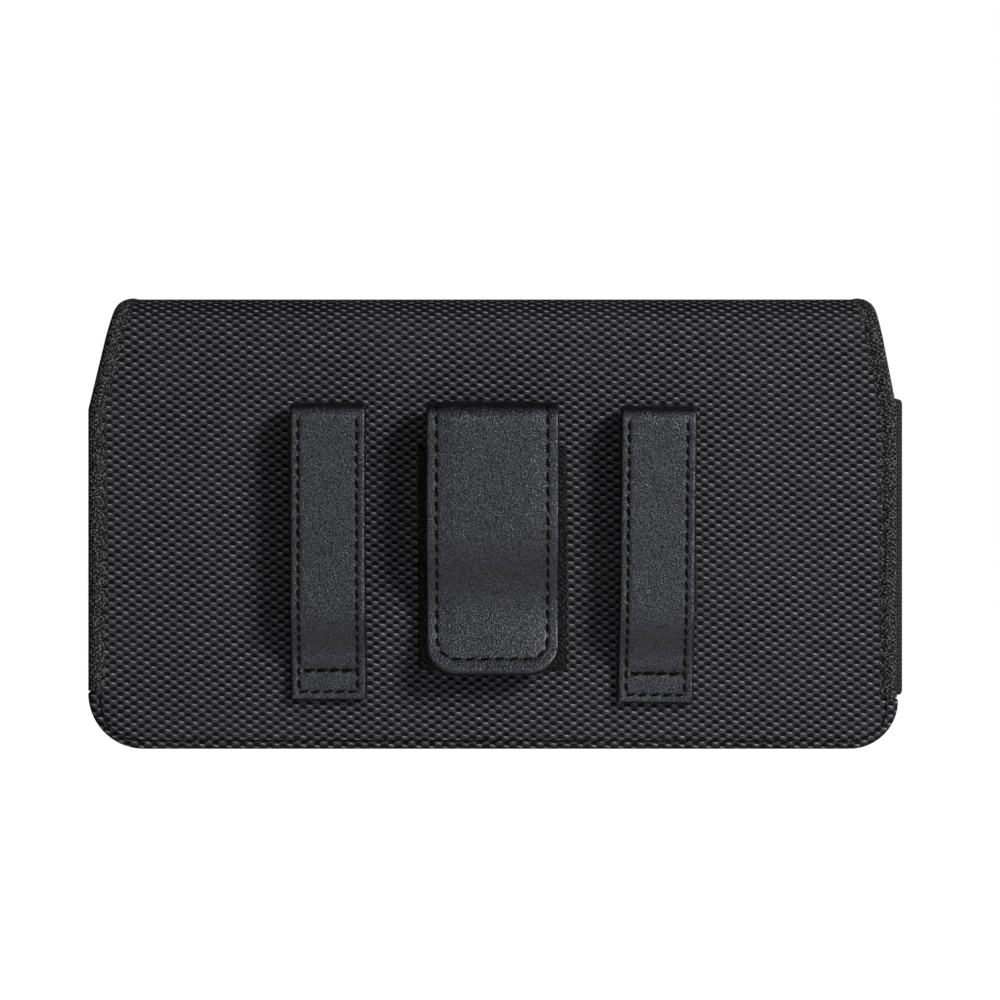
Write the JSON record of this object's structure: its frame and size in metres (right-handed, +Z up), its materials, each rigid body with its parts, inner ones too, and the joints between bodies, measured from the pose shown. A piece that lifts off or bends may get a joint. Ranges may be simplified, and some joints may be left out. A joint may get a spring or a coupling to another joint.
{
  "type": "phone belt holster",
  "caption": "Sideways phone holster of woven nylon with a fold-over flap, elastic side gussets, leather belt loops and a leather-covered spring clip.",
  "frame": {"origin": "middle of the belt passage, on the outer face of the back, halfway between the two belt loops", "axes": "+X along the belt (right as seen from the belt side), +Y from the belt side towards the flap, +Z up as worn"},
  "size_m": [0.1758, 0.0331, 0.0976],
  "materials": {
    "woven_cover": "coarse plain-weave nylon, charcoal, slightly shiny on the raised threads",
    "board": "plain stiff board",
    "lining": "smooth napped lining",
    "binding_tape": "fine ribbed woven tape",
    "elastic": "ribbed woven elastic",
    "leather": "fine-grained black leather, semi-matt",
    "spring_steel": "plain spring steel",
    "magnet": "nickel-plated"
  },
  "bodies": {
    "pouch": {"back_cover": "woven_cover", "back_board": "board", "back_lining": "lining", "left_edge_binding": "binding_tape", "right_edge_binding": "binding_tape", "front_cover": "woven_cover", "front_board": "board", "front_lining": "lining", "mouth_binding": "binding_tape", "left_gusset": "elastic", "right_gusset": "elastic", "left_catch_plate": "spring_steel", "right_catch_plate": "spring_steel", "left_belt_loop": "leather", "right_belt_loop": "leather", "clip_pad": "leather", "clip_back_leg": "spring_steel", "clip_back_leather": "leather", "clip_rivets": "spring_steel"},
    "spine": {"spine_cover": "woven_cover", "spine_lining": "lining", "left_spine_binding": "binding_tape", "right_spine_binding": "binding_tape"},
    "flap": {"flap_cover": "woven_cover", "flap_board": "board", "flap_lining": "lining", "flap_binding": "binding_tape", "left_flap_magnet": "magnet", "right_flap_magnet": "magnet"},
    "clip": {"clip_spring": "spring_steel", "clip_outer_leather": "leather", "clip_inner_leather": "leather"}
  },
  "joints": [
    {"name": "spine_fold", "type": "hinge", "parent": "pouch", "child": "spine", "pos_m": [0, -0.0005, 0.0431], "axis": [1, 0, 0], "range_deg": [0, 90]},
    {"name": "flap_fold", "type": "hinge", "parent": "spine", "child": "flap", "pos_m": [0, 0.0229, 0.0431], "axis": [1, 0, 0], "range_deg": [0, 90], "stiffness_Nm_per_rad": 0.01, "springref_deg": -5.73},
    {"name": "clip_flex", "type": "hinge", "parent": "pouch", "child": "clip", "pos_m": [0, -0.0051, 0.0296], "axis": [-1, 0, 0], "range_deg": [0, 8], "stiffness_Nm_per_rad": 2, "springref_deg": -2.86}
  ]
}
